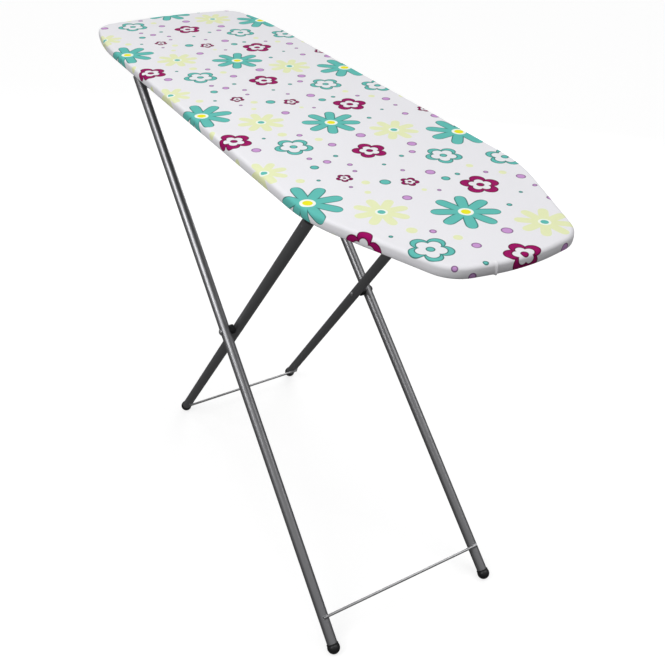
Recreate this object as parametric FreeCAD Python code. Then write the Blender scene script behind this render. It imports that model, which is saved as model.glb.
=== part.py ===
import FreeCAD, Part
import math
import os

# Folding ironing board, standing open. Millimetres, +Z up, the nose towards +X, left is +Y.
# The origin is on the floor under the middle of the board.

# ---- driving dimensions -----------------------------------------------------------------
BOARD_HEIGHT = 850.0        # floor to the top of the cover
BOARD_LENGTH = 1209.0       # tail to nose, over the cover
HALF_WIDTH = 188.0          # half of the width over the cover
TAIL_ARC_INSET = 4.42       # the shallow arcs of the ends fall this far short
NOSE_ARC_INSET = 4.87       # of their corner points

COVER_SHEET = 1.2           # printed cotton cover
COVER_DEPTH = 17.0          # height of its side band
COVER_HEM = 26.0            # width of the hem turned under the rim
COVER_EDGE = 5.0            # rounding of its upper edge
PAD_THICKNESS = 6.0         # felt pad
PANEL_SHEET = 1.0           # perforated steel
PANEL_FLANGE = 8.2          # depth of its downturned rim
FIT_GAP = 0.3               # between the cover's band and the panel's rim

HOLE_RADIUS = 5.0           # perforation of the panel
HOLE_PITCH = 34.0
HOLE_MARGIN = 24.0          # plain border inside the rim

TUBE_RADIUS = 10.0          # leg tubes
TUBE_WALL = 1.2
ROD_RADIUS = 2.6            # wire cross rods
WELD_SINK = 0.4             # depth to which a welded rod sinks into a tube
OUTER_ROD_Z = 49.5          # height on the leg of each cross rod, and its overhang
OUTER_ROD_OVERHANG = 3.5    # beyond the middle of a leg
INNER_ROD_Z = 46.5
INNER_ROD_OVERHANG = 2.0

# each leg is a straight tube; a leg line is (x, half spacing) at the foot and at the top
FOOT_Z = 11.2
TOP_Z = 800.0
OUTER_FOOT = (476.7, 173.7)
OUTER_TOP = (-384.0, 149.4)
INNER_FOOT = (-285.9, 143.9)
INNER_TOP = (292.9, 124.5)

HINGE_Z = 790.0             # axle of the outer legs
BAR_Z = 770.0               # top bar through the inner legs
BAR_RADIUS = 5.0
LEG_BEYOND = 12.0           # an inner leg ends this far beyond the bar

AXLE_RADIUS = 4.0
FLUSH_DEPTH = 1.0              # axle and bar end this far inside the tubes' outer sides
PIVOT_RADIUS = 3.0
RUNNING_GAP = 0.06          # radial clearance of a turning hole
SIDE_GAP = 0.4              # clearance beside a turning tube

CAP_RADIUS = 12.0           # plastic foot caps
CAP_LENGTH = 7.5            # collar of a cap along its tube, from the middle of its ball
CAP_COLLAR = 11.2           # radius of the collar
TUBE_SINK = 3.0             # a tube ends this far below the middle of the ball

SLEEVE_RADIUS = 9.0         # plastic sleeve round the top bar
SLEEVE_LENGTH = 120.0

RACK_SHEET = 2.0            # height rack, an inverted channel
RACK_HALF_WIDTH = 30.0
RACK_START = -44.0          # ends of the rack, counted from the top bar
RACK_END = 300.0
TOOTH_PITCH = 34.0
NOTCH_DEPTH = 9.0
NOTCH_COUNT = 5
NOTCH_GAP = 0.3             # a notch is this much wider than the sleeve
TOOTH_GAP = 1.6             # the lifted bar passes this far under the teeth
TOOTH_SLOPE = 0.094         # the row of teeth rises towards the nose
RACK_PLAIN_Z = 812.0        # lower edge of the rack beyond the teeth

BRACKET_SHEET = 2.0         # hinge brackets, inverted channels
BRACKET_OUTSIDE = 137.0     # outer ear from the middle plane
BRACKET_WIDTH = 40.0
BRACKET_LENGTH = 46.0
EAR_RADIUS = 12.0
WASHER_RADIUS = 9.0

RIVET_RADIUS = 2.4          # blind rivets of brackets and rack
RIVET_HEAD = 4.6
RIVET_HEIGHT = 1.6

# ---- places worked out from them --------------------------------------------------------
AXIS_Y = FreeCAD.Vector(0, 1, 0)
AXIS_Z = FreeCAD.Vector(0, 0, 1)
LEFT = 1
RIGHT = -1
SIDES = {"left": LEFT, "right": RIGHT}

PAD_TOP = BOARD_HEIGHT - COVER_SHEET
PANEL_TOP = PAD_TOP - PAD_THICKNESS
PANEL_UNDER = PANEL_TOP - PANEL_SHEET
COVER_BOTTOM = BOARD_HEIGHT - COVER_DEPTH


def vector(x, y, z):
    return FreeCAD.Vector(x, y, z)


def leg_point(foot, top, side, z):
    """The point at height z on the centre line of a leg."""
    share = (z - FOOT_Z) / (TOP_Z - FOOT_Z)
    x = foot[0] + (top[0] - foot[0]) * share
    y = foot[1] + (top[1] - foot[1]) * share
    return vector(x, side * y, z)


def outer_point(side, z):
    return leg_point(OUTER_FOOT, OUTER_TOP, side, z)


def inner_point(side, z):
    return leg_point(INNER_FOOT, INNER_TOP, side, z)


def crossing_height():
    """Height at which the two pairs of legs cross, seen from the side."""
    feet_apart = OUTER_FOOT[0] - INNER_FOOT[0]
    tops_apart = INNER_TOP[0] - OUTER_TOP[0]
    return FOOT_Z + (TOP_Z - FOOT_Z) * feet_apart / (feet_apart + tops_apart)


PIVOT_Z = crossing_height()
BAR_X = inner_point(LEFT, BAR_Z).x
HINGE_X = outer_point(LEFT, HINGE_Z).x


# ---- shape helpers ----------------------------------------------------------------------
def rounded_outline(corners):
    """Closed wire in the XY plane: straight runs joined by tangent arcs, corners as (x, y, r)."""
    count = len(corners)
    starts = []
    edges = []
    for index in range(count):
        before = vector(*corners[index - 1][:2], 0)
        here = vector(*corners[index][:2], 0)
        after = vector(*corners[(index + 1) % count][:2], 0)
        radius = corners[index][2]
        towards_before = (before - here).normalize()
        towards_after = (after - here).normalize()
        half = towards_before.getAngle(towards_after) / 2
        reach = radius / math.tan(half)
        bisector = (towards_before + towards_after).normalize()
        middle = here + bisector * (radius / math.sin(half) - radius)
        starts.append((here + towards_before * reach, middle, here + towards_after * reach))
    for index in range(count):
        arc_start, arc_middle, arc_end = starts[index]
        next_start = starts[(index + 1) % count][0]
        edges.append(Part.Arc(arc_start, arc_middle, arc_end).toShape())
        edges.append(Part.LineSegment(arc_end, next_start).toShape())
    return Part.Wire(edges)


def board_outline():
    """The board seen from above: blunt rounded tail at -X, tapered broad nose at +X."""
    tail = -BOARD_LENGTH / 2 - TAIL_ARC_INSET
    nose = BOARD_LENGTH / 2 + NOSE_ARC_INSET
    half = [
        (tail + 18, 160, 50),
        (tail + 128, HALF_WIDTH, 600),
        (nose - 232, HALF_WIDTH, 300),
        (nose - 19, 105, 55),
    ]
    mirrored = [(x, -y, radius) for x, y, radius in reversed(half)]
    return rounded_outline([(tail, 0, 700)] + half + [(nose, 0, 300)] + mirrored)


def outline_face(inset):
    wire = board_outline()
    if inset:
        wire = wire.makeOffset2D(-inset)
    return Part.Face(wire)


def slab(face, bottom, top):
    placed = face.copy()
    placed.translate(vector(0, 0, bottom))
    return placed.extrude(vector(0, 0, top - bottom))


def rod(start, end, radius):
    along = end - start
    return Part.makeCylinder(radius, along.Length, start, along)


def tube(start, end, radius, wall):
    return rod(start, end, radius).cut(rod(start, end, radius - wall))


def cross_rod(y_from, y_to, x, z, radius):
    """A rod parallel to Y."""
    return rod(vector(x, y_from, z), vector(x, y_to, z), radius)


def domed_head(centre, direction, radius, height):
    """A flat-backed domed rivet head; direction points out of the dome."""
    sphere_radius = (radius ** 2 + height ** 2) / (2 * height)
    ball = Part.makeSphere(sphere_radius, centre - direction * (sphere_radius - height))
    return ball.common(Part.makeCylinder(radius + 1, height + 1, centre, direction))


def export(name, shape):
    os.makedirs("parts", exist_ok=True)
    shape.exportStep("parts/" + name + ".step")


# ---- board ------------------------------------------------------------------------------
def hole_centres():
    """Staggered rows of perforations inside the plain border of the panel."""
    border = outline_face(COVER_SHEET + FIT_GAP + HOLE_MARGIN)
    row_step = HOLE_PITCH * math.sqrt(3) / 2
    rows = int(HALF_WIDTH / row_step)
    columns = int(BOARD_LENGTH / 2 / HOLE_PITCH) + 1
    centres = []
    for row in range(-rows, rows + 1):
        shift = HOLE_PITCH / 2 if row % 2 else 0.0
        for column in range(-columns, columns + 1):
            centre = vector(column * HOLE_PITCH + shift, row * row_step, 0)
            if border.isInside(centre, 0.01, True) and not is_riveted(centre):
                centres.append(centre)
    return centres


def is_riveted(centre):
    """True over the rack's and the brackets' rivets, where the panel stays plain."""
    reach = HOLE_RADIUS + RIVET_HEAD
    return any(math.hypot(centre.x - x, centre.y - y) < reach for x, y in rivet_places())


def make_panel():
    outline = outline_face(COVER_SHEET + FIT_GAP)
    inside = outline_face(COVER_SHEET + FIT_GAP + PANEL_SHEET)
    holes = [Part.Wire(Part.makeCircle(HOLE_RADIUS, centre)) for centre in hole_centres()]
    sheet = slab(Part.Face([outline.OuterWire] + holes, "Part::FaceMakerBullseye"), PANEL_UNDER, PANEL_TOP)
    flange = slab(outline, PANEL_TOP - PANEL_FLANGE, PANEL_UNDER)
    flange = flange.cut(slab(inside, PANEL_TOP - PANEL_FLANGE - 1, PANEL_UNDER + 1))
    return sheet.fuse(flange).removeSplitter()


def rounded_slab(inset, bottom, top, radius):
    """A slab of the board's outline with its upper edge rounded."""
    block = slab(outline_face(inset), bottom, top)
    return block.makeFillet(radius, [edge for edge in block.Edges if edge.BoundBox.ZMin > top - 0.01])


def make_pad():
    return rounded_slab(COVER_SHEET + FIT_GAP, PANEL_TOP, PAD_TOP, COVER_EDGE - COVER_SHEET)


def make_cover():
    shell = rounded_slab(0, COVER_BOTTOM, BOARD_HEIGHT, COVER_EDGE)
    room = rounded_slab(COVER_SHEET, COVER_BOTTOM + COVER_SHEET, PAD_TOP, COVER_EDGE - COVER_SHEET)
    opening = slab(outline_face(COVER_HEM), COVER_BOTTOM - 1, COVER_BOTTOM + COVER_SHEET + 1)
    return shell.cut(room).cut(opening)


# ---- hinge of the outer legs ------------------------------------------------------------
def bracket_rivets():
    """Rivet places of the two brackets, as (x, y)."""
    places = []
    for side in SIDES.values():
        middle = side * (BRACKET_OUTSIDE - BRACKET_WIDTH / 2)
        places += [(HINGE_X + dx, middle) for dx in (-14.0, 14.0)]
    return places


def make_bracket(side):
    """Inverted channel: a plate under the panel and two ears that carry the axle."""
    outer = side * BRACKET_OUTSIDE
    inner = side * (BRACKET_OUTSIDE - BRACKET_WIDTH)
    low_y = min(outer, inner)
    corner = vector(HINGE_X - BRACKET_LENGTH / 2, low_y, PANEL_UNDER - BRACKET_SHEET)
    bracket = Part.makeBox(BRACKET_LENGTH, BRACKET_WIDTH, BRACKET_SHEET, corner)
    for ear_y in (low_y, low_y + BRACKET_WIDTH - BRACKET_SHEET):
        bracket = bracket.fuse(make_ear(ear_y))
    return bracket.removeSplitter()


def make_ear(ear_y):
    """A plate that narrows from the bracket's length to a round end about the axle."""
    top = PANEL_UNDER - BRACKET_SHEET / 2
    half = BRACKET_LENGTH / 2
    corners = [(-half, top), (half, top), (EAR_RADIUS, HINGE_Z), (-EAR_RADIUS, HINGE_Z)]
    outline = Part.makePolygon([vector(HINGE_X + x, ear_y, z) for x, z in corners + corners[:1]])
    plate = Part.Face(outline).extrude(AXIS_Y * BRACKET_SHEET)
    end = Part.makeCylinder(EAR_RADIUS, BRACKET_SHEET, vector(HINGE_X, ear_y, HINGE_Z), AXIS_Y)
    bore = Part.makeCylinder(AXLE_RADIUS, BRACKET_SHEET + 2, vector(HINGE_X, ear_y - 1, HINGE_Z), AXIS_Y)
    return plate.fuse(end).cut(bore)


def make_pin(point_at, z, radius):
    """A rod across both legs of a pair, its ends ground flush with the tubes."""
    middle = point_at(LEFT, z)
    reach = middle.y + TUBE_RADIUS - FLUSH_DEPTH
    return cross_rod(-reach, reach, middle.x, z, radius)


def make_hinge_washers():
    """Plastic washers on the axle between the brackets and the outer legs."""
    thickness = outer_point(LEFT, HINGE_Z).y - TUBE_RADIUS - BRACKET_OUTSIDE - SIDE_GAP
    washers = []
    for side in SIDES.values():
        face = vector(HINGE_X, side * BRACKET_OUTSIDE, HINGE_Z)
        washer = Part.makeCylinder(WASHER_RADIUS, thickness, face, AXIS_Y * side)
        washers.append(washer.cut(Part.makeCylinder(AXLE_RADIUS, thickness, face, AXIS_Y * side)))
    return Part.makeCompound(washers)


# ---- height rack ------------------------------------------------------------------------
def rack_rivets():
    """Rivet places of the rack, as (x, y)."""
    spacing = (RACK_END - RACK_START - 40.0) / 3
    return [(BAR_X + RACK_START + 20.0 + spacing * step, 0.0) for step in range(4)]


def rivet_places():
    return bracket_rivets() + rack_rivets()


def tooth_line(x):
    """Height of the tips of the teeth at x."""
    return BAR_Z + SLEEVE_RADIUS + TOOTH_GAP + TOOTH_SLOPE * (x - BAR_X)


def make_rack():
    """Inverted channel riveted along the panel, its walls cut into notches for the top bar."""
    start = BAR_X + RACK_START
    end = BAR_X + RACK_END
    teeth_end = BAR_X + TOOTH_PITCH * (NOTCH_COUNT - 1) + TOOTH_PITCH / 2
    side_view = [
        (start, PANEL_UNDER),
        (start, tooth_line(start)),
        (teeth_end, tooth_line(teeth_end)),
        (teeth_end + 12.0, RACK_PLAIN_Z),
        (end, RACK_PLAIN_Z),
        (end, PANEL_UNDER),
    ]
    outline = [vector(x, -RACK_HALF_WIDTH, z) for x, z in side_view + side_view[:1]]
    block = Part.Face(Part.makePolygon(outline)).extrude(AXIS_Y * 2 * RACK_HALF_WIDTH)
    inner_width = 2 * (RACK_HALF_WIDTH - RACK_SHEET)
    corner = vector(start - 1, -inner_width / 2, BAR_Z)
    inside = Part.makeBox(end - start + 2, inner_width, PANEL_UNDER - RACK_SHEET - BAR_Z, corner)
    return block.cut(inside).cut(Part.makeCompound(make_notches()))


def make_notches():
    radius = SLEEVE_RADIUS + NOTCH_GAP
    notches = []
    for step in range(NOTCH_COUNT):
        x = BAR_X + TOOTH_PITCH * step
        z = tooth_line(x) + NOTCH_DEPTH - radius
        notches.append(cross_rod(-RACK_HALF_WIDTH - 1, RACK_HALF_WIDTH + 1, x, z, radius))
    return notches


def make_rivets(places, thickness):
    """Blind rivets: a domed head under the sheet and a flat set head on the panel."""
    rivets = []
    for x, y in places:
        low = vector(x, y, PANEL_UNDER - thickness)
        shank = Part.makeCylinder(RIVET_RADIUS, thickness + PANEL_SHEET, low, AXIS_Z)
        rivets.append(shank.fuse(domed_head(low, AXIS_Z * -1, RIVET_HEAD, RIVET_HEIGHT)))
    return Part.makeCompound(rivets)


def drill(shape, places):
    """Rivet holes through the panel, a bracket or the rack."""
    for x, y in places:
        shape = shape.cut(Part.makeCylinder(RIVET_RADIUS, 20, vector(x, y, PANEL_TOP - 15), AXIS_Z))
    return shape


# ---- legs -------------------------------------------------------------------------------
def leg_direction(point_at, side):
    return (point_at(side, TOP_Z) - point_at(side, FOOT_Z)).normalize()


def tube_start(point_at, side):
    """Lower end of a leg tube, inside its cap."""
    return point_at(side, FOOT_Z) - leg_direction(point_at, side) * TUBE_SINK


def make_outer_leg(side):
    """Straight tube with cross holes for the axle and the pivot rivet."""
    direction = leg_direction(outer_point, side)
    top = outer_point(side, HINGE_Z) + direction * 16
    leg = tube(tube_start(outer_point, side), top, TUBE_RADIUS, TUBE_WALL)
    leg = leg.cut(hole_across(outer_point(side, HINGE_Z), AXLE_RADIUS + RUNNING_GAP))
    return leg.cut(hole_across(outer_point(side, PIVOT_Z), PIVOT_RADIUS))


def hole_across(centre, radius):
    half = vector(0, TUBE_RADIUS + 4, 0)
    return rod(centre - half, centre + half, radius)


def make_inner_leg(side):
    """Straight tube with cross holes for the pivot rivet and the top bar."""
    top = inner_point(side, BAR_Z) + leg_direction(inner_point, side) * LEG_BEYOND
    leg = tube(tube_start(inner_point, side), top, TUBE_RADIUS, TUBE_WALL)
    leg = leg.cut(hole_across(inner_point(side, PIVOT_Z), PIVOT_RADIUS + RUNNING_GAP))
    return leg.cut(hole_across(inner_point(side, BAR_Z), BAR_RADIUS))


def make_cap(point_at, side):
    """Rounded plastic cap over the end of a leg, with a small flat where it stands."""
    foot = point_at(side, FOOT_Z)
    direction = leg_direction(point_at, side)
    collar = rod(foot, foot + direction * CAP_LENGTH, CAP_COLLAR)
    cap = Part.makeSphere(CAP_RADIUS, foot).fuse(collar)
    socket = rod(tube_start(point_at, side), foot + direction * CAP_RADIUS, TUBE_RADIUS)
    below = Part.makeBox(80, 80, 20, vector(foot.x - 40, foot.y - 40, -20))
    return cap.cut(socket).cut(below).removeSplitter()


def make_cross_rod(point_at, z, overhang):
    """Wire welded across the nose-side faces of a pair of legs."""
    centre = point_at(LEFT, z)
    direction = leg_direction(point_at, LEFT)
    outwards = vector(direction.z, 0, -direction.x).normalize()
    offset = outwards * (TUBE_RADIUS + ROD_RADIUS - WELD_SINK)
    reach = centre.y + overhang
    return cross_rod(-reach, reach, centre.x + offset.x, centre.z + offset.z, ROD_RADIUS)


# ---- pivots between the pairs -----------------------------------------------------------
def make_pivot_rivet(side):
    """Rivet from outside the outer leg to inside the inner leg."""
    outside = outer_point(side, PIVOT_Z) + AXIS_Y * side * (TUBE_RADIUS + 0.1)
    inside = inner_point(side, PIVOT_Z) - AXIS_Y * side * (TUBE_RADIUS + SIDE_GAP)
    rivet = rod(inside, outside, PIVOT_RADIUS)
    rivet = rivet.fuse(domed_head(outside, AXIS_Y * side, 6.5, 3.0))
    return rivet.fuse(domed_head(inside, AXIS_Y * -side, 5.0, 2.0))


def make_pivot_spacer(side):
    """Plastic ring between the crossing legs, saddled to the outer one."""
    start = inner_point(side, PIVOT_Z) + AXIS_Y * side * (TUBE_RADIUS + SIDE_GAP)
    end = outer_point(side, PIVOT_Z) - AXIS_Y * side * (TUBE_RADIUS - 4.0)
    ring = rod(start, end, 9.5)
    ring = ring.cut(rod(start, end, PIVOT_RADIUS))
    outer_solid = rod(outer_point(side, FOOT_Z), outer_point(side, TOP_Z), TUBE_RADIUS)
    return ring.cut(outer_solid)


# ---- all the pieces ---------------------------------------------------------------------
export("board_panel", drill(make_panel(), rivet_places()))
export("felt_pad", make_pad())
export("cotton_cover", make_cover())
export("hinge_axle", make_pin(outer_point, HINGE_Z, AXLE_RADIUS))
export("hinge_washers", make_hinge_washers())
export("bracket_rivets", make_rivets(bracket_rivets(), BRACKET_SHEET))
export("height_rack", drill(make_rack(), rack_rivets()))
export("rack_rivets", make_rivets(rack_rivets(), RACK_SHEET))
export("top_bar", make_pin(inner_point, BAR_Z, BAR_RADIUS))
export("bar_sleeve", cross_rod(-SLEEVE_LENGTH / 2, SLEEVE_LENGTH / 2, BAR_X, BAR_Z, SLEEVE_RADIUS)
       .cut(cross_rod(-SLEEVE_LENGTH / 2, SLEEVE_LENGTH / 2, BAR_X, BAR_Z, BAR_RADIUS)))
export("outer_cross_rod", make_cross_rod(outer_point, OUTER_ROD_Z, OUTER_ROD_OVERHANG))
export("inner_cross_rod", make_cross_rod(inner_point, INNER_ROD_Z, INNER_ROD_OVERHANG))
for side_name, side_sign in SIDES.items():
    export("hinge_bracket_" + side_name, drill(make_bracket(side_sign), bracket_rivets()))
    export("outer_leg_" + side_name, make_outer_leg(side_sign))
    export("inner_leg_" + side_name, make_inner_leg(side_sign))
    export("outer_foot_cap_" + side_name, make_cap(outer_point, side_sign))
    export("inner_foot_cap_" + side_name, make_cap(inner_point, side_sign))
    export("pivot_rivet_" + side_name, make_pivot_rivet(side_sign))
    export("pivot_spacer_" + side_name, make_pivot_spacer(side_sign))
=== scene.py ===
import math
import random

import bmesh
import bpy
from mathutils import Matrix, Vector
from mathutils.geometry import delaunay_2d_cdt


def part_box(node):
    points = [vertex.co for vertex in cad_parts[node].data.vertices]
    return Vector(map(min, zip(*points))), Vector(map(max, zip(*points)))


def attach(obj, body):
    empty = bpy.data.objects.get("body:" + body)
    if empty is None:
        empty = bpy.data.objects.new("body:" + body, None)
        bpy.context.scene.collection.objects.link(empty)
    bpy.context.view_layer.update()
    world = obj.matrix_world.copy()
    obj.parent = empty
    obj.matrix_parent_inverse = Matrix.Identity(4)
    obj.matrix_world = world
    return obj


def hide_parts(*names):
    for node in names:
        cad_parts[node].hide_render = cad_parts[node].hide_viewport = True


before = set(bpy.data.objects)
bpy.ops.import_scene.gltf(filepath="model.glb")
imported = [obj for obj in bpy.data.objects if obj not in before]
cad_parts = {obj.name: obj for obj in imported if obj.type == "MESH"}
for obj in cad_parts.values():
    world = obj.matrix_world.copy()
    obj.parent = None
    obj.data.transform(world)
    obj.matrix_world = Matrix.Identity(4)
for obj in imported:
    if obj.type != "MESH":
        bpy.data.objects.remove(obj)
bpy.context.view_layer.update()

# Folding ironing board: printed cover, felt pad, perforated steel top and tube legs.
# Metres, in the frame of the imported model.

# ---- camera -----------------------------------------------------------------------------
CAMERA_PLACE = (1.2693, -0.6910, 1.3724)
CAMERA_HEADING = math.radians(148.27)   # of the view direction, from +X towards +Y
CAMERA_DOWN = math.radians(34.96)
CAMERA_ROLL = math.radians(2.11)
CAMERA_LENS = 46.2                      # millimetres
CAMERA_SENSOR = 36.0                    # millimetres
CAMERA_REACH = 100.0                    # it draws nothing farther away

# ---- studio -----------------------------------------------------------------------------
WORLD_ABOVE = 0.50
WORLD_BELOW = 0.10
WORLD_FADE = (-0.30, 0.90)              # heights of the view direction between which it brightens
SUN_PLACE = (0.3, 0.5, 3.0)
SUN_STRENGTH = 0.90
SUN_ANGLE = math.radians(45)
SOFTBOXES = {                           # place, target, watts, width and height
    "near_softbox": ((0.35, -1.75, 2.15), (0.0, -0.1, 0.6), 26.0, 0.9, 1.7),
    "far_softbox": ((1.5, 1.7, 2.1), (0.1, 0.1, 0.5), 5.0, 0.6, 1.4),
    "back_softbox": ((-1.7, 1.4, 0.62), (0.0, 0.0, 0.42), 16.0, 1.2, 0.9),
}
FLOOR_GREY = (0.30, 0.30, 0.30, 1.0)
FLOOR_GLOW = 0.76
FLOOR_MIDDLE = 0.5                      # radius of the innermost ring of points
FLOOR_RADIUS = 9.0
BACKDROP_BEND = 3.0                     # radius of the bend from the floor to the backdrop
BACKDROP_BEND_STEPS = 12
BACKDROP_TOP = 14.0
BACKDROP_SIDES = 96

# ---- cover ------------------------------------------------------------------------------
COVER_LOW, COVER_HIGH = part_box("cotton_cover")
HALF_WIDTH = COVER_HIGH.y
TAIL = COVER_LOW.x - 0.00442            # the shallow end arcs pass this far inside their corners
NOSE = COVER_HIGH.x + 0.00487
TAIL_ROUNDING = 0.700
NOSE_ROUNDING = 0.300
LEFT_CORNERS = [                        # corners of the left side as (x, y, radius)
    (TAIL + 0.018, 0.160, 0.050),
    (TAIL + 0.128, HALF_WIDTH, 0.600),
    (NOSE - 0.232, HALF_WIDTH, 0.300),
    (NOSE - 0.019, 0.105, 0.055),
]
RIM_TOP = COVER_HIGH.z
RIM_BOTTOM = COVER_LOW.z

OUTLINE_STEP = 0.005                    # spacing of the points along the rim
CLOTH_STEP = 0.011                      # spacing of the points on the flat top
RIM_CLEARANCE = 0.6                     # least distance from the rim's points, in spacings
FLAT_INSET = 0.012                      # the flat top ends this far inside the outline
LIP_INSET = 0.0095                      # first row of points outside the flat top
EDGE_RADIUS = 0.006                     # roll of the upper edge
LOWER_RADIUS = 0.0025                   # turn under the rim
BAND_BULGE = 0.0004                     # the side band swells outwards by this much
HEM_RISE = 0.0006                       # from the rim to the start of the elastic's channel
HEM_WIDTH = 0.026                       # from the outline to the hem's inner edge
CASING_WIDTH = 0.007                    # folded channel of the elastic
CASING_HEIGHT = 0.0026
GATHER_PITCH = 0.0135                   # puckers that the elastic makes along the hem
GATHER_HEIGHT = 0.0013
CLOTH_THICKNESS = 0.0007
RELIEF = 0.00018                        # slight rise and fall of the flat top
PLEAT_PLACE = (0.606, -0.046)           # a small fold of spare cloth across the band
PLEAT_SECTION = [                       # places across the fold, and their lift off the band
    (-0.0036, -0.0004), (-0.0018, 0.0006), (-0.0002, 0.0020), (0.0008, 0.0018), (0.0010, -0.0006),
]
PLEAT_LEVELS = 14                       # rows of the rim profile that it runs down
PLEAT_SWELL_LEVELS = 4                  # rows over which it rises to its full section

# ---- felt pad ---------------------------------------------------------------------------
PAD_INSET = 0.0015
PAD_ROLL = 0.0045                       # radius of its upper edge
PAD_STEP = 0.014                        # spacing of its points
PAD_UNDER_COVER = 0.0012                # its top lies this far under the top of its space
PAD_LIFT = 0.0001                       # its lower side lies this far above the bottom of its space

# ---- legs -------------------------------------------------------------------------------
LEG_LINES = {                           # foot and top of the middle line of a left leg
    "outer": ((0.4767, 0.1737, 0.0112), (-0.3840, 0.1494, 0.8000)),
    "inner": ((-0.2859, 0.1439, 0.0112), (0.2929, 0.1245, 0.8000)),
}
WELD_RADIUS = 0.0017
WELD_HALF_LENGTH = 0.0055
WELD_SHIFT = 0.0026                     # from the rod's middle, along the leg
WELD_SINK = 0.0022                      # from the rod's middle, towards the leg
WELD_STEPS = 10
WELD_RIPPLE = 0.12                      # share by which the rings of a bead swell and shrink

# ---- print ------------------------------------------------------------------------------
# A made-up layout: five kinds of flower in staggered rows that repeat along the board, with
# dots scattered in the gaps. Metres on the flat cloth, from the middle of the board; |y| over
# the half width runs down the side band.
PRINT_SEED = 21
PRINT_MAP = "PrintMap"
PRINT_REPEAT = 0.36
BEYOND_CLOTH = 9.0                      # farther than any place on the cloth
PRINT_EDGE = 0.0006                     # softness of a printed edge
POOL_WIDTH = 0.0017                     # ink lies thicker and darker along the edge of a shape
POOL_SHADE = 0.42

FLOWER_ROWS = 5
FLOWERS_IN_ROW = 3
ROW_SPACING = 0.088
FLOWER_WANDER = 0.010                   # how far a flower stands off its place in its row
FLOWER_SIZES = (0.92, 1.04)             # smallest and largest, as shares of its kind's radius
FLOWER_KINDS = [                        # kind and radius, in the order that they take turns
    ("teal_daisy", 0.052), ("magenta_blossom", 0.029), ("pale_daisy", 0.039),
    ("teal_blossom", 0.030), ("small_blossom", 0.014),
]
DOT_TRIES = 400
DOT_RADII = (0.0030, 0.0085)
DOT_GAP = 0.0110                        # least gap between a dot and what is beside it
DOT_REACH = 0.215                       # the dots go this far to each side

CLOTH = (0.795, 0.790, 0.820)
TEAL = (0.115, 0.490, 0.440)
YELLOW = (0.830, 0.780, 0.020)
PALE_RING = (0.86, 0.90, 0.82)
PALE_YELLOW = (0.760, 0.800, 0.480)
MAGENTA = (0.315, 0.001, 0.108)
LILAC = (0.560, 0.300, 0.610)
DAISIES = {                             # inks of the petals and of the middle
    "teal_daisy": (TEAL, YELLOW), "pale_daisy": (PALE_YELLOW, TEAL),
}
BLOSSOMS = {                            # ink, and the share of the flower that is hollow
    "magenta_blossom": (MAGENTA, 0.57), "teal_blossom": (TEAL, 0.68), "small_blossom": (MAGENTA, 0.55),
}

# parts of a flower, as shares of its radius
PETALS = 8
PETAL_MIDDLE = 0.57                     # from the flower's centre to the middle of a petal
PETAL_HALF_LENGTH = 0.43
PETAL_HALF_WIDTH = 0.165
PETAL_WIDENING = 0.035
DAISY_HEART = 0.30
DAISY_RING = 0.22
DAISY_MIDDLE = 0.14
LOBES = 5
LOBE_PLACE = 0.60
LOBE_RADIUS = 0.40
LOBES_DISC = 0.50                       # fills the space between the lobes
BLOSSOM_MIDDLE = 0.20


# ---- outline of the board ---------------------------------------------------------------
def board_corners():
    """Corners of the outline as (x, y, radius), anticlockwise from the tail."""
    right_corners = [(x, -y, radius) for x, y, radius in reversed(LEFT_CORNERS)]
    tail, nose = (TAIL, 0.0, TAIL_ROUNDING), (NOSE, 0.0, NOSE_ROUNDING)
    clockwise = [tail] + LEFT_CORNERS + [nose] + right_corners
    return clockwise[::-1]


def rounded_corner(before, corner, after, radius, steps=24):
    """Points of the arc that rounds one corner."""
    towards_before = (before - corner).normalized()
    towards_after = (after - corner).normalized()
    half = towards_before.angle(towards_after) / 2
    bisector = (towards_before + towards_after).normalized()
    centre = corner + bisector * (radius / math.sin(half))
    start = corner + towards_before * (radius / math.tan(half)) - centre
    sweep = math.pi - 2 * half
    return [centre + Matrix.Rotation(sweep * step / steps, 2) @ start for step in range(steps + 1)]


def rim_points():
    """Evenly spaced points along the outline, and the outward direction at each."""
    corners = board_corners()
    places = [Vector((x, y)) for x, y, _ in corners]
    dense = []
    for index, (_, _, radius) in enumerate(corners):
        after = places[(index + 1) % len(places)]
        dense += rounded_corner(places[index - 1], places[index], after, radius)
    runs = [(b - a).length for a, b in zip(dense, dense[1:] + dense[:1])]
    count = round(sum(runs) / OUTLINE_STEP)
    step = sum(runs) / count
    points = []
    travelled = 0.0
    for a, b, run in zip(dense, dense[1:] + dense[:1], runs):
        while len(points) < count and len(points) * step <= travelled + run:
            share = (len(points) * step - travelled) / max(run, 1e-9)
            points.append(a.lerp(b, share))
        travelled += run
    outwards = []
    for index in range(count):
        along = (points[(index + 1) % count] - points[index - 1]).normalized()
        outwards.append(Vector((along.y, -along.x)))
    return points, outwards


RIM, OUTWARDS = rim_points()


# ---- meshes -----------------------------------------------------------------------------
def make_object(name, mesh, body, material):
    piece = bpy.data.objects.new(name, mesh)
    bpy.context.collection.objects.link(piece)
    mesh.materials.append(material)
    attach(piece, body)
    return piece


def inset_ring(inset):
    return [point - out * inset for point, out in zip(RIM, OUTWARDS)]


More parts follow.
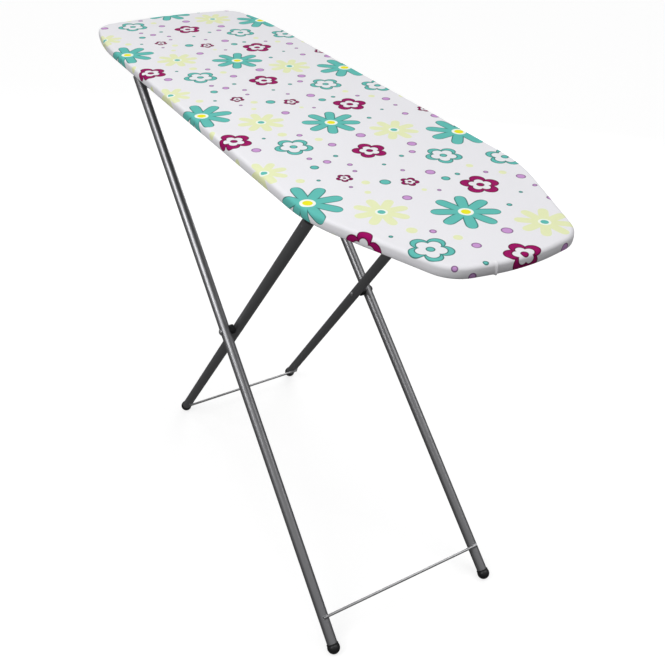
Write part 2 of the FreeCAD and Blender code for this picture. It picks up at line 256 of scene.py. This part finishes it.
def flat_fill(ring, step):
    """Even triangles inside a ring, as (points, faces); the ring's points come first."""
    low_x, high_x = min(p.x for p in ring), max(p.x for p in ring)
    low_y, high_y = min(p.y for p in ring), max(p.y for p in ring)
    guard = [point - out * (step * RIM_CLEARANCE) for point, out in zip(ring, OUTWARDS)]
    row_step = step * math.sqrt(3) / 2
    inner = []
    for row in range(1, int((high_y - low_y) / row_step) + 1):
        y = low_y + row * row_step
        crossings = sorted(
            a.x + (b.x - a.x) * (y - a.y) / (b.y - a.y)
            for a, b in zip(guard, guard[1:] + guard[:1])
            if (a.y > y) != (b.y > y)
        )
        if len(crossings) == 2:
            shift = step / 2 if row % 2 else 0.0
            x = low_x + shift
            while x < high_x:
                if crossings[0] < x < crossings[1]:
                    inner.append(Vector((x, y)))
                x += step
    points, _, faces, _, _, _ = delaunay_2d_cdt(ring + inner, [], [list(range(len(ring)))], 1, 1e-7)
    return points, faces


def join_rings(faces, before, here):
    """Adds the faces between two rings of points."""
    for index in range(len(before)):
        after = (index + 1) % len(before)
        faces.append((before[index], here[index], here[after], before[after]))


def map_print(mesh, places):
    """Keeps where each point of a mesh lies on the flat printed cloth."""
    layer = mesh.uv_layers.new(name=PRINT_MAP)
    for loop in mesh.loops:
        layer.data[loop.index].uv = places[loop.vertex_index]


def gathering(index, depth):
    """Height of a pucker of the hem at a rim point; depth runs from 0 at the rim to 1."""
    along = index * OUTLINE_STEP / GATHER_PITCH * math.tau
    wander = 1.3 * math.sin(along * 0.137 + 0.6) + 0.9 * math.sin(along * 0.311 + 2.1)
    return GATHER_HEIGHT * depth * (math.sin(along + wander) + 0.35 * math.sin(1.83 * along + 2 * wander))


def rim_profile(index):
    """Cross-section of the cover at a rim point: (inset, height) from the flat top to the hem."""
    profile = [(LIP_INSET, RIM_TOP)]
    for step in range(7):
        angle = math.radians(15 * step)
        profile.append((EDGE_RADIUS * (1 - math.sin(angle)), RIM_TOP - EDGE_RADIUS * (1 - math.cos(angle))))
    band_top = RIM_TOP - EDGE_RADIUS
    band_end = RIM_BOTTOM + LOWER_RADIUS
    for share in (0.25, 0.5, 0.75):
        bulge = BAND_BULGE * math.sin(math.pi * share)
        profile.append((-bulge, band_top + (band_end - band_top) * share))
    for step in range(4):
        angle = math.radians(30 * step)
        inset = LOWER_RADIUS * (1 - math.cos(angle))
        profile.append((inset, band_end - LOWER_RADIUS * math.sin(angle)))
    casing_start = HEM_WIDTH - CASING_WIDTH
    for share in (0.2, 0.4, 0.6, 0.8, 1.0):
        inset = LOWER_RADIUS + (casing_start - LOWER_RADIUS) * share
        profile.append((inset, RIM_BOTTOM + HEM_RISE * share + gathering(index, share)))
    middle = RIM_BOTTOM + HEM_RISE + CASING_HEIGHT / 2
    for step in range(1, 9):
        angle = math.radians(36 * step - 90)
        inset = casing_start + CASING_WIDTH / 2 * (1 + math.sin(angle))
        height = middle - CASING_HEIGHT / 2 * math.cos(angle)
        profile.append((inset, height + gathering(index, 1.0)))
    return profile


def soft_relief(x, y):
    """Slight rise and fall of the cloth over its pad."""
    waves = math.sin(9.1 * x + 3.7 * y + 0.4) + math.sin(-13.3 * x + 17.9 * y + 1.9)
    waves += math.sin(31.0 * x + 11.0 * y + 2.2) * 0.5
    return RELIEF * waves


def make_cover(material):
    """The printed cover: flat top, rolled edge, side band and gathered hem, in one sheet."""
    ring = inset_ring(FLAT_INSET)
    points, faces = flat_fill(ring, CLOTH_STEP)
    count = len(RIM)
    verts = [Vector((p.x, p.y, RIM_TOP + soft_relief(p.x, p.y))) for p in points]
    places = [(p.x, p.y) for p in points]
    faces = [tuple(face) for face in faces]
    profiles = [rim_profile(index) for index in range(count)]
    before = list(range(count))
    travelled = [0.0] * count
    last = [(FLAT_INSET, RIM_TOP)] * count
    for level in range(len(profiles[0])):
        here = []
        for index, (point, out) in enumerate(zip(RIM, OUTWARDS)):
            inset, height = profiles[index][level]
            travelled[index] += math.dist(last[index], (inset, height))
            last[index] = (inset, height)
            place = point - out * inset
            here.append(len(verts))
            verts.append(Vector((place.x, place.y, height)))
            unrolled = point - out * (FLAT_INSET - travelled[index])
            places.append((unrolled.x, unrolled.y))
        join_rings(faces, before, here)
        before = here
    mesh = bpy.data.meshes.new("printed_cover")
    mesh.from_pydata(verts, [], faces)
    map_print(mesh, places)
    mesh.shade_smooth()
    cover = make_object("printed_cover", mesh, "board", material)
    face_outwards(mesh)
    thicken = cover.modifiers.new("thickness", "SOLIDIFY")
    thicken.thickness = CLOTH_THICKNESS
    thicken.offset = -1
    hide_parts("cotton_cover")
    return cover


def make_pleat(material):
    """The fold across the band, a raised strip that follows the rim's cross-section."""
    index = min(range(len(RIM)), key=lambda i: (RIM[i] - Vector(PLEAT_PLACE)).length)
    start, out = RIM[index], OUTWARDS[index]
    along = Vector((-out.y, out.x))
    profile = rim_profile(index)[:PLEAT_LEVELS]
    verts, faces, places = [], [], []
    travelled = 0.0
    before = (FLAT_INSET, RIM_TOP)
    for level, (inset, height) in enumerate(profile):
        run = math.dist(before, (inset, height))
        travelled += run
        outward, upward = (height - before[1]) / run, (before[0] - inset) / run
        swell = min(1.0, level / PLEAT_SWELL_LEVELS)
        for across, lift in PLEAT_SECTION:
            place = start + along * across - out * (inset + outward * lift * swell)
            verts.append(Vector((place.x, place.y, height + upward * lift * swell)))
            unrolled = start + along * across - out * (FLAT_INSET - travelled)
            places.append((unrolled.x, unrolled.y))
        before = (inset, height)
    width = len(PLEAT_SECTION)
    for level in range(len(profile) - 1):
        for step in range(width - 1):
            corner = level * width + step
            faces.append((corner, corner + width, corner + width + 1, corner + 1))
    mesh = bpy.data.meshes.new("nose_pleat")
    mesh.from_pydata(verts, [], faces)
    map_print(mesh, places)
    mesh.shade_smooth()
    pleat = make_object("nose_pleat", mesh, "board", material)
    smooth = pleat.modifiers.new("rounding", "SUBSURF")
    smooth.levels = smooth.render_levels = 2
    return pleat


def face_outwards(mesh):
    """Turns the faces so that the flat top faces up."""
    edited = bmesh.new()
    edited.from_mesh(mesh)
    bmesh.ops.recalc_face_normals(edited, faces=edited.faces)
    highest = max(edited.faces, key=lambda face: face.calc_center_median().z)
    if highest.normal.z < 0:
        bmesh.ops.reverse_faces(edited, faces=edited.faces)
    edited.to_mesh(mesh)
    edited.free()


def make_pad(material):
    """Needle felt pad: a rolled upper edge and a flat lower side."""
    low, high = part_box("felt_pad")
    ring = inset_ring(PAD_INSET + PAD_ROLL)
    points, faces = flat_fill(ring, PAD_STEP)
    count = len(RIM)
    top = high.z - PAD_UNDER_COVER
    bottom = low.z + PAD_LIFT
    verts = [Vector((p.x, p.y, top + soft_relief(p.x, p.y))) for p in points]
    faces = [tuple(face) for face in faces]
    levels = []
    for step in range(1, 7):
        angle = math.radians(15 * step)
        inset = PAD_INSET + PAD_ROLL * (1 - math.sin(angle))
        levels.append((inset, top - PAD_ROLL * (1 - math.cos(angle))))
    levels.append((PAD_INSET, bottom))
    before = list(range(count))
    for inset, height in levels:
        here = []
        for point, out in zip(RIM, OUTWARDS):
            place = point - out * inset
            here.append(len(verts))
            verts.append(Vector((place.x, place.y, height)))
        join_rings(faces, before, here)
        before = here
    under_points, under_faces = flat_fill(inset_ring(PAD_INSET), PAD_STEP)
    shift = len(verts) - count
    verts += [Vector((p.x, p.y, bottom)) for p in under_points[count:]]
    for face in under_faces:
        turned = [before[i] if i < count else i + shift for i in reversed(list(face))]
        faces.append(tuple(turned))
    mesh = bpy.data.meshes.new("needle_felt_pad")
    mesh.from_pydata(verts, [], faces)
    mesh.shade_smooth()
    pad = make_object("needle_felt_pad", mesh, "board", material)
    face_outwards(mesh)
    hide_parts("felt_pad")
    return pad


# ---- material building ------------------------------------------------------------------
class Nodes:
    """Short ways to add nodes to one node tree; an input is a value or another node's output."""

    def __init__(self, tree):
        self.tree = tree

    def add(self, kind, inputs=(), **settings):
        node = self.tree.nodes.new(kind)
        for name, value in settings.items():
            setattr(node, name, value)
        for key, value in dict(inputs).items():
            self.put(node.inputs[key], value)
        return node

    def put(self, socket, value):
        if isinstance(value, bpy.types.NodeSocket):
            self.tree.links.new(value, socket)
        else:
            socket.default_value = value

    def math(self, operation, *values, clamp=False):
        node = self.add("ShaderNodeMath", enumerate(values), operation=operation, use_clamp=clamp)
        return node.outputs[0]

    def vector(self, operation, *values):
        node = self.add("ShaderNodeVectorMath", enumerate(values), operation=operation)
        measures = operation in ("LENGTH", "DISTANCE", "DOT_PRODUCT")
        return node.outputs["Value" if measures else "Vector"]

    def inside(self, distance):
        """1 where a distance to an edge is negative, fading softly to 0 across the edge."""
        faded = self.math("DIVIDE", distance, PRINT_EDGE)
        return self.math("SUBTRACT", 0.5, faded, clamp=True)

    def printed(self, distance):
        """Masks of a printed shape: all of it, and its inside where the ink lies thin."""
        return self.inside(distance), self.inside(self.math("ADD", distance, POOL_WIDTH))

    def mix(self, share, below, above):
        node = self.add("ShaderNodeMix", {0: share}, data_type="RGBA")
        self.put(node.inputs[6], colour(below))
        self.put(node.inputs[7], colour(above))
        return node.outputs[2]

    def noise(self, scale, detail=2.0, roughness=0.5, place=None):
        inputs = {"Scale": scale, "Detail": detail, "Roughness": roughness}
        if place is not None:
            inputs["Vector"] = place
        return self.add("ShaderNodeTexNoise", inputs).outputs[0]

    def ramp(self, value, low, high):
        """A value from 0 to 1 turned into one from low to high."""
        return self.add("ShaderNodeMapRange", {"Value": value, "To Min": low, "To Max": high}).outputs[0]


def colour(value):
    return (*value, 1.0) if isinstance(value, tuple) and len(value) == 3 else value


def new_group(name, inputs, outputs):
    """An empty node group with float or vector inputs and float outputs."""
    tree = bpy.data.node_groups.new(name, "ShaderNodeTree")
    for socket, kind in inputs:
        tree.interface.new_socket(socket, in_out="INPUT", socket_type=kind)
    for socket in outputs:
        tree.interface.new_socket(socket, in_out="OUTPUT", socket_type="NodeSocketFloat")
    nodes = Nodes(tree)
    source = nodes.add("NodeGroupInput").outputs
    target = nodes.add("NodeGroupOutput").inputs
    return nodes, source, target


MOTIF_INPUTS = [
    ("Place", "NodeSocketVector"),
    ("Centre", "NodeSocketVector"),
    ("Radius", "NodeSocketFloat"),
    ("Turn", "NodeSocketFloat"),
]


def offset_in_repeat(nodes, source):
    """From the nearest copy of a motif's centre to the place."""
    offset = nodes.vector("SUBTRACT", source["Place"], source["Centre"])
    reach = (PRINT_REPEAT / 2, BEYOND_CLOTH, BEYOND_CLOTH)
    return nodes.vector("WRAP", offset, reach, tuple(-part for part in reach))


def petal_frame(nodes, source, petals):
    """Distance from a flower's centre, and the place along and across its nearest petal."""
    offset = offset_in_repeat(nodes, source)
    parts = nodes.add("ShaderNodeSeparateXYZ", {0: offset}).outputs
    distance = nodes.vector("LENGTH", offset)
    angle = nodes.math("ARCTAN2", parts[1], parts[0])
    angle = nodes.math("SUBTRACT", angle, source["Turn"])
    angle = nodes.math("WRAP", angle, math.pi / petals, -math.pi / petals)
    along = nodes.math("MULTIPLY", distance, nodes.math("COSINE", angle))
    across = nodes.math("MULTIPLY", distance, nodes.math("SINE", angle))
    return distance, along, nodes.math("ABSOLUTE", across)


def edge_of_disc(nodes, distance, radius, share):
    """Distance to the edge of a disc with a share of the motif's radius."""
    return nodes.math("MULTIPLY_ADD", radius, -share, distance)


def daisy_group():
    """A flower of petals that widen outwards, with a ring round its centre."""
    nodes, source, target = new_group("daisy", MOTIF_INPUTS, ["Petals", "Inner Petals", "Ring", "Middle"])
    radius = source["Radius"]
    distance, along, across = petal_frame(nodes, source, PETALS)
    share = nodes.math("DIVIDE", along, radius)
    bent = nodes.math("DIVIDE", nodes.math("SUBTRACT", share, PETAL_MIDDLE), PETAL_HALF_LENGTH)
    bent = nodes.math("MULTIPLY", bent, bent)
    arch = nodes.math("SUBTRACT", 1.0, nodes.math("MULTIPLY", bent, bent))
    arch = nodes.math("SQRT", nodes.math("MAXIMUM", arch, 0.0))
    width = nodes.math("MULTIPLY_ADD", share, PETAL_WIDENING, PETAL_HALF_WIDTH)
    half = nodes.math("MULTIPLY", nodes.math("MULTIPLY", width, arch), radius)
    edge = nodes.math("SUBTRACT", across, half)
    edge = nodes.math("ADD", edge, PRINT_EDGE / 2)
    flower = nodes.math("MINIMUM", edge, edge_of_disc(nodes, distance, radius, DAISY_HEART))
    for socket, mask in zip(("Petals", "Inner Petals"), nodes.printed(flower)):
        nodes.put(target[socket], mask)
    for socket, size in (("Ring", DAISY_RING), ("Middle", DAISY_MIDDLE)):
        nodes.put(target[socket], nodes.inside(edge_of_disc(nodes, distance, radius, size)))
    return nodes.tree


def five_lobes(nodes, distance, along, across, size):
    """Distance to a flower of five round lobes, size times as large as the motif."""
    reach = nodes.math("MULTIPLY_ADD", size, -LOBE_PLACE, along)
    squares = nodes.math("ADD", nodes.math("MULTIPLY", reach, reach), nodes.math("MULTIPLY", across, across))
    lobe = edge_of_disc(nodes, nodes.math("SQRT", squares), size, LOBE_RADIUS)
    return nodes.math("MINIMUM", lobe, edge_of_disc(nodes, distance, size, LOBES_DISC))


def blossom_group():
    """An outlined flower of five round lobes with a dot in the middle."""
    inputs = MOTIF_INPUTS + [("Hollow", "NodeSocketFloat")]
    nodes, source, target = new_group("blossom", inputs, ["Line", "Inner Line"])
    distance, along, across = petal_frame(nodes, source, LOBES)
    hollow = nodes.math("MULTIPLY", source["Radius"], source["Hollow"])
    outer = five_lobes(nodes, distance, along, across, source["Radius"])
    inner = five_lobes(nodes, distance, along, across, hollow)
    ring = nodes.math("MAXIMUM", outer, nodes.math("MULTIPLY", inner, -1.0))
    flower = nodes.math("MINIMUM", ring, edge_of_disc(nodes, distance, source["Radius"], BLOSSOM_MIDDLE))
    for socket, mask in zip(("Line", "Inner Line"), nodes.printed(flower)):
        nodes.put(target[socket], mask)
    return nodes.tree


def dot_group():
    """Distance to the edge of a dot, or the distance already found if that is less."""
    inputs = MOTIF_INPUTS[:3] + [("Found", "NodeSocketFloat")]
    nodes, source, target = new_group("dot", inputs, ["Distance"])
    distance = nodes.vector("LENGTH", offset_in_repeat(nodes, source))
    edge = nodes.math("SUBTRACT", distance, source["Radius"])
    nodes.put(target["Distance"], nodes.math("MINIMUM", edge, source["Found"]))
    return nodes.tree


def lay_flowers(draw):
    """The flowers of one repeat as (kind, x, y, radius, turn); each row starts two kinds further on."""
    flowers = []
    for row in range(FLOWER_ROWS):
        for column in range(FLOWERS_IN_ROW):
            kind, radius = FLOWER_KINDS[(2 * row + column) % len(FLOWER_KINDS)]
            x = (column + row % 2 / 2) * PRINT_REPEAT / FLOWERS_IN_ROW
            y = (row - (FLOWER_ROWS - 1) / 2) * ROW_SPACING
            x += draw.uniform(-FLOWER_WANDER, FLOWER_WANDER)
            y += draw.uniform(-FLOWER_WANDER, FLOWER_WANDER)
            radius *= draw.uniform(*FLOWER_SIZES)
            flowers.append((kind, x, y, radius, draw.uniform(0.0, math.tau)))
    return flowers


def lay_dots(draw, flowers):
    """The dots of one repeat as (x, y, radius), where the flowers and other dots leave room."""
    dots = []
    taken = [(x, y, radius) for _, x, y, radius, _ in flowers]
    for _ in range(DOT_TRIES):
        x, y = draw.uniform(0.0, PRINT_REPEAT), draw.uniform(-DOT_REACH, DOT_REACH)
        radius = draw.uniform(*DOT_RADII)
        gaps = []
        for other_x, other_y, size in taken:
            along = math.remainder(x - other_x, PRINT_REPEAT)
            gaps.append(math.hypot(along, y - other_y) - radius - size)
        if min(gaps) > DOT_GAP:
            dots.append((x, y, radius))
            taken.append((x, y, radius))
    return dots


def print_motif(nodes, group, place, x, y, radius, turn, hollow=None):
    inputs = {"Place": place, "Centre": (x, y, 0.0), "Radius": radius, "Turn": turn}
    if hollow is not None:
        inputs["Hollow"] = hollow
    node = nodes.add("ShaderNodeGroup", node_tree=group)
    for name, value in inputs.items():
        nodes.put(node.inputs[name], value)
    return node.outputs


def inked(nodes, below, masks, ink):
    """Ink over the cloth, darker along the edge of the shape, except the pale ink."""
    whole, inner = masks
    if ink == PALE_YELLOW:
        return nodes.mix(whole, below, ink)
    pooled = tuple(part * POOL_SHADE for part in ink)
    return nodes.mix(whole, below, nodes.mix(inner, pooled, ink))


def print_dots(nodes, group, place, dots, below, ink):
    """All the dots of one colour."""
    found = 1.0
    for x, y, radius in dots:
        node = nodes.add("ShaderNodeGroup", node_tree=group)
        for name, value in (("Place", place), ("Centre", (x, y, 0.0)), ("Radius", radius), ("Found", found)):
            nodes.put(node.inputs[name], value)
        found = node.outputs[0]
    return inked(nodes, below, nodes.printed(found), ink)


def flowered(nodes, place):
    """Colour of the printed cloth at a place of the print."""
    daisy, blossom, dot = daisy_group(), blossom_group(), dot_group()
    draw = random.Random(PRINT_SEED)
    flowers = lay_flowers(draw)
    dots = lay_dots(draw, flowers)
    shade = CLOTH
    for some, ink in ((dots[0::4], PALE_YELLOW), (dots[1::2], LILAC), (dots[2::4], TEAL)):
        shade = print_dots(nodes, dot, place, some, shade, ink)
    for kind, *flower in flowers:
        if kind in BLOSSOMS:
            ink, hollow = BLOSSOMS[kind]
            masks = print_motif(nodes, blossom, place, *flower, hollow=hollow)
            shade = inked(nodes, shade, (masks["Line"], masks["Inner Line"]), ink)
        else:
            petal_ink, middle_ink = DAISIES[kind]
            masks = print_motif(nodes, daisy, place, *flower)
            shade = inked(nodes, shade, (masks["Petals"], masks["Inner Petals"]), petal_ink)
            shade = nodes.mix(masks["Ring"], shade, PALE_RING)
            shade = nodes.mix(masks["Middle"], shade, middle_ink)
    return shade


def new_material(name):
    """A material with only a Principled shader, as (material, nodes, shader)."""
    material = bpy.data.materials.new(name)
    material.use_nodes = True
    material.node_tree.nodes.clear()
    nodes = Nodes(material.node_tree)
    shader = nodes.add("ShaderNodeBsdfPrincipled")
    nodes.add("ShaderNodeOutputMaterial", {"Surface": shader.outputs[0]})
    return material, nodes, shader


def bump(nodes, shader, height, depth):
    """Relief of that depth in metres."""
    node = nodes.add("ShaderNodeBump", {"Height": height, "Distance": depth, "Strength": 1.0})
    nodes.put(shader.inputs["Normal"], node.outputs[0])


def stretched_noise(nodes, place, scale):
    mapped = nodes.vector("MULTIPLY", place, scale)
    return nodes.noise(1.0, 2.0, 0.6, mapped)


def cotton_material():
    """Printed plain-weave cotton: warp and weft slubs, ink slightly uneven, soft sheen."""
    material, nodes, shader = new_material("printed_cotton_weave")
    place = nodes.add("ShaderNodeUVMap", uv_map=PRINT_MAP).outputs[0]
    warp = stretched_noise(nodes, place, (220.0, 2600.0, 1.0))
    weft = stretched_noise(nodes, place, (2600.0, 220.0, 1.0))
    weave = nodes.math("ADD", warp, weft)
    unevenness = nodes.ramp(nodes.math("MULTIPLY", weave, 0.5), 0.93, 1.07)
    tint = nodes.add("ShaderNodeCombineColor", {0: unevenness, 1: unevenness, 2: unevenness}).outputs[0]
    node = nodes.add("ShaderNodeMix", {0: 1.0}, data_type="RGBA", blend_type="MULTIPLY")
    nodes.put(node.inputs[6], flowered(nodes, place))
    nodes.put(node.inputs[7], tint)
    nodes.put(shader.inputs["Base Color"], node.outputs[2])
    nodes.put(shader.inputs["Roughness"], nodes.ramp(weave, 0.78, 0.92))
    shader.inputs["Specular IOR Level"].default_value = 0.14
    shader.inputs["Sheen Weight"].default_value = 0.02
    shader.inputs["Sheen Roughness"].default_value = 0.5
    bump(nodes, shader, weave, 0.00012)
    return material


def felt_material():
    """Off-white needle felt with tangled fibres and darker flecks of recycled fibre."""
    material, nodes, shader = new_material("needle_felt")
    fibres = nodes.noise(900.0, 4.0, 0.65)
    flecks = nodes.noise(260.0, 2.0, 0.4)
    fleck_share = nodes.math("MULTIPLY_ADD", flecks, 9.0, -5.6, clamp=True)
    base = nodes.mix(fibres, (0.46, 0.45, 0.42), (0.66, 0.65, 0.61))
    nodes.put(shader.inputs["Base Color"], nodes.mix(fleck_share, base, (0.22, 0.22, 0.24)))
    shader.inputs["Roughness"].default_value = 0.95
    shader.inputs["Sheen Weight"].default_value = 0.25
    bump(nodes, shader, fibres, 0.0006)
    return material


def painted_steel(name, paint, metallic, roughness):
    """Sprayed silver-grey enamel: fine flake, faint orange peel and duller patches."""
    material, nodes, shader = new_material(name)
    flake = nodes.noise(2600.0, 2.0, 0.6)
    patches = nodes.noise(14.0, 3.0, 0.55)
    dark = tuple(part * 0.84 for part in paint)
    light = tuple(part * 1.14 for part in paint)
    shade = nodes.mix(nodes.ramp(flake, 0.15, 0.85), dark, light)
    nodes.put(shader.inputs["Base Color"], shade)
    shader.inputs["Metallic"].default_value = metallic
    nodes.put(shader.inputs["Roughness"], nodes.ramp(patches, roughness - 0.07, roughness + 0.09))
    peel = nodes.noise(420.0, 2.0, 0.5)
    bump(nodes, shader, peel, 0.000009)
    return material


def bright_metal(name, shade, roughness, grain=(60.0, 900.0, 900.0)):
    """Zinc-plated or drawn steel with fine drawing lines and a mottled plating."""
    material, nodes, shader = new_material(name)
    place = nodes.add("ShaderNodeTexCoord").outputs["Object"]
    lines = nodes.noise(1.0, 2.0, 0.6, nodes.vector("MULTIPLY", place, grain))
    mottle = nodes.noise(90.0, 3.0, 0.5)
    dark = tuple(part * 0.78 for part in shade)
    nodes.put(shader.inputs["Base Color"], nodes.mix(nodes.ramp(mottle, 0.2, 1.0), dark, shade))
    shader.inputs["Metallic"].default_value = 1.0
    nodes.put(shader.inputs["Roughness"], nodes.ramp(mottle, roughness - 0.06, roughness + 0.1))
    bump(nodes, shader, lines, 0.000012)
    return material


def moulded_plastic(name, shade, roughness):
    """Black moulded plastic: fine spark-eroded grain and scuffed patches."""
    material, nodes, shader = new_material(name)
    grain = nodes.noise(1500.0, 3.0, 0.6)
    scuffs = nodes.noise(55.0, 4.0, 0.6)
    worn = nodes.math("MULTIPLY_ADD", scuffs, 5.0, -3.0, clamp=True)
    lighter = tuple(part * 2.2 + 0.004 for part in shade)
    nodes.put(shader.inputs["Base Color"], nodes.mix(worn, shade, lighter))
    nodes.put(shader.inputs["Roughness"], nodes.ramp(worn, roughness, roughness + 0.2))
    bump(nodes, shader, grain, 0.00008)
    return material


def paint_nodes(material, names):
    for name in names:
        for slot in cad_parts[name].material_slots:
            slot.material = material


# ---- details on the legs ----------------------------------------------------------------
def ring_mesh(name, rings):
    """A closed tube skin through rings of points, its two ends capped."""
    verts = [point for ring in rings for point in ring]
    around = len(rings[0])
    faces = []
    for level in range(len(rings) - 1):
        for step in range(around):
            after = (step + 1) % around
            low, high = level * around, (level + 1) * around
            faces.append((low + step, low + after, high + after, high + step))
    faces.append(tuple(reversed(range(around))))
    faces.append(tuple(range(len(verts) - around, len(verts))))
    mesh = bpy.data.meshes.new(name)
    mesh.from_pydata(verts, [], faces)
    mesh.shade_smooth()
    return mesh


def make_weld(name, centre, along, body):
    """One bead of weld metal: a short rippled spindle across the leg."""
    across = Vector((0.0, 1.0, 0.0))
    sideways = across.cross(along).normalized()
    rings = []
    for step in range(WELD_STEPS):
        angle = math.pi * (step + 0.5) / WELD_STEPS
        middle = centre - across * (WELD_HALF_LENGTH * math.cos(angle))
        radius = WELD_RADIUS * math.sin(angle) * (1 + WELD_RIPPLE * (-1) ** step)
        ring = []
        for turn in range(WELD_STEPS):
            around = math.tau * turn / WELD_STEPS
            ring.append(middle + (along * math.cos(around) + sideways * math.sin(around)) * radius)
        rings.append(ring)
    make_object(name, ring_mesh(name, rings), body, leg_paint)


def make_welds():
    """Beads on both sides of each cross rod, where it lies on a leg."""
    for pair, (foot, top) in LEG_LINES.items():
        low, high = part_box(pair + "_cross_rod")
        rod_x, rod_z = (low.x + high.x) / 2, (low.z + high.z) / 2
        for side, turn in (("left", 1), ("right", -1)):
            start = Vector((foot[0], foot[1] * turn, foot[2]))
            along = Vector((top[0] - foot[0], (top[1] - foot[1]) * turn, top[2] - foot[2])).normalized()
            level = Vector((along.x, 0.0, along.z))
            nearest = start + along * (Vector((rod_x, 0.0, rod_z)) - start).dot(level) / level.length_squared
            rod = Vector((rod_x, nearest.y, rod_z))
            inward = (nearest - rod).normalized()
            for end, shift in (("upper", 1), ("lower", -1)):
                centre = rod + inward * WELD_SINK + along * (WELD_SHIFT * shift)
                make_weld(f"{pair}_weld_{side}_{end}", centre, along, pair + "_legs")


# ---- light, floor and camera ------------------------------------------------------------
def make_camera():
    data = bpy.data.cameras.new("camera")
    data.lens = CAMERA_LENS
    data.sensor_width = CAMERA_SENSOR
    data.clip_end = CAMERA_REACH
    camera = bpy.data.objects.new("camera", data)
    bpy.context.collection.objects.link(camera)
    ahead, aside = math.cos(CAMERA_HEADING), math.sin(CAMERA_HEADING)
    level = math.cos(CAMERA_DOWN)
    look = Vector((level * ahead, level * aside, -math.sin(CAMERA_DOWN)))
    right = look.cross(Vector((0, 0, 1))).normalized()
    turn = Matrix.Rotation(CAMERA_ROLL, 3, -look)
    right = turn @ right
    up = right.cross(look)
    camera.matrix_world = Matrix.Translation(CAMERA_PLACE) @ Matrix((right, up, -look)).transposed().to_4x4()
    bpy.context.scene.camera = camera


def make_light(name, kind, place, target, energy, **settings):
    data = bpy.data.lights.new(name, kind)
    data.energy = energy
    for key, value in settings.items():
        setattr(data, key, value)
    light = bpy.data.objects.new(name, data)
    bpy.context.collection.objects.link(light)
    light.location = place
    light.rotation_mode = "QUATERNION"
    light.rotation_quaternion = (Vector(target) - Vector(place)).to_track_quat("-Z", "Y")
    light.visible_camera = False


def make_world():
    """Bright above and dim below."""
    world = bpy.data.worlds.new("studio")
    world.use_nodes = True
    nodes = Nodes(world.node_tree)
    direction = nodes.add("ShaderNodeTexCoord").outputs["Generated"]
    height = nodes.add("ShaderNodeSeparateXYZ", {0: direction}).outputs[2]
    low, high = WORLD_FADE
    fade = nodes.add("ShaderNodeMapRange", {
        "Value": height, "From Min": low, "From Max": high, "To Min": WORLD_BELOW, "To Max": WORLD_ABOVE,
    })
    background = world.node_tree.nodes["Background"]
    background.inputs["Color"].default_value = (1.0, 1.0, 1.0, 1.0)
    nodes.put(background.inputs["Strength"], fade.outputs[0])
    bpy.context.scene.world = world


def make_floor():
    """A pale floor that curves up into a round backdrop, closed above; it gives the object no light."""
    material, _, shader = new_material("pale_floor")
    shader.inputs["Base Color"].default_value = FLOOR_GREY
    shader.inputs["Roughness"].default_value = 0.9
    shader.inputs["Specular IOR Level"].default_value = 0.1
    shader.inputs["Emission Color"].default_value = (1.0, 1.0, 1.0, 1.0)
    shader.inputs["Emission Strength"].default_value = FLOOR_GLOW
    profile = [(FLOOR_MIDDLE, 0.0), (FLOOR_RADIUS, 0.0)]
    for step in range(1, BACKDROP_BEND_STEPS + 1):
        angle = math.pi / 2 * step / BACKDROP_BEND_STEPS
        out, up = BACKDROP_BEND * math.sin(angle), BACKDROP_BEND * (1 - math.cos(angle))
        profile.append((FLOOR_RADIUS + out, up))
    profile.append((FLOOR_RADIUS + BACKDROP_BEND, BACKDROP_TOP))
    turns = [math.tau * step / BACKDROP_SIDES for step in range(BACKDROP_SIDES)]
    rings = []
    for radius, height in profile:
        rings.append([Vector((radius * math.cos(t), radius * math.sin(t), height)) for t in turns])
    mesh = ring_mesh("floor", rings)
    mesh.materials.append(material)
    floor = bpy.data.objects.new("floor", mesh)
    bpy.context.collection.objects.link(floor)
    floor.visible_diffuse = False
    floor.visible_glossy = False
    floor.visible_shadow = False


def make_studio():
    make_world()
    make_floor()
    make_light("ceiling_panel", "SUN", SUN_PLACE, (0.0, 0.0, 0.0), SUN_STRENGTH, angle=SUN_ANGLE)
    for name, (place, target, watts, width, height) in SOFTBOXES.items():
        make_light(name, "AREA", place, target, watts, shape="RECTANGLE", size=width, size_y=height)
    bpy.context.scene.view_settings.view_transform = "Standard"


# ---- the whole object -------------------------------------------------------------------
make_camera()
make_studio()

cotton = cotton_material()
felt = felt_material()
leg_paint = painted_steel("silver_enamel", (0.31, 0.31, 0.32), metallic=0.90, roughness=0.36)
panel_paint = painted_steel("panel_enamel", (0.52, 0.53, 0.54), metallic=0.25, roughness=0.45)
wire = bright_metal("zinc_wire", (0.46, 0.46, 0.47), roughness=0.34)
rivet_steel = bright_metal("rivet_steel", (0.66, 0.66, 0.68), roughness=0.30, grain=(700.0, 700.0, 700.0))
pressed = bright_metal("zinc_pressed", (0.60, 0.61, 0.62), roughness=0.38)
black_plastic = moulded_plastic("black_plastic", (0.007, 0.007, 0.008), roughness=0.38)

paint_nodes(leg_paint, [
    "outer_leg_left", "outer_leg_right", "inner_leg_left", "inner_leg_right", "hinge_axle", "top_bar",
])
paint_nodes(panel_paint, ["board_panel"])
paint_nodes(wire, ["outer_cross_rod", "inner_cross_rod"])
paint_nodes(rivet_steel, ["bracket_rivets", "rack_rivets", "pivot_rivet_left", "pivot_rivet_right"])
paint_nodes(pressed, ["hinge_bracket_left", "hinge_bracket_right", "height_rack"])
paint_nodes(black_plastic, [
    "outer_foot_cap_left", "outer_foot_cap_right", "inner_foot_cap_left", "inner_foot_cap_right",
    "pivot_spacer_left", "pivot_spacer_right", "bar_sleeve", "hinge_washers",
])

pad = make_pad(felt)
cover = make_cover(cotton)
pleat = make_pleat(cotton)
make_welds()
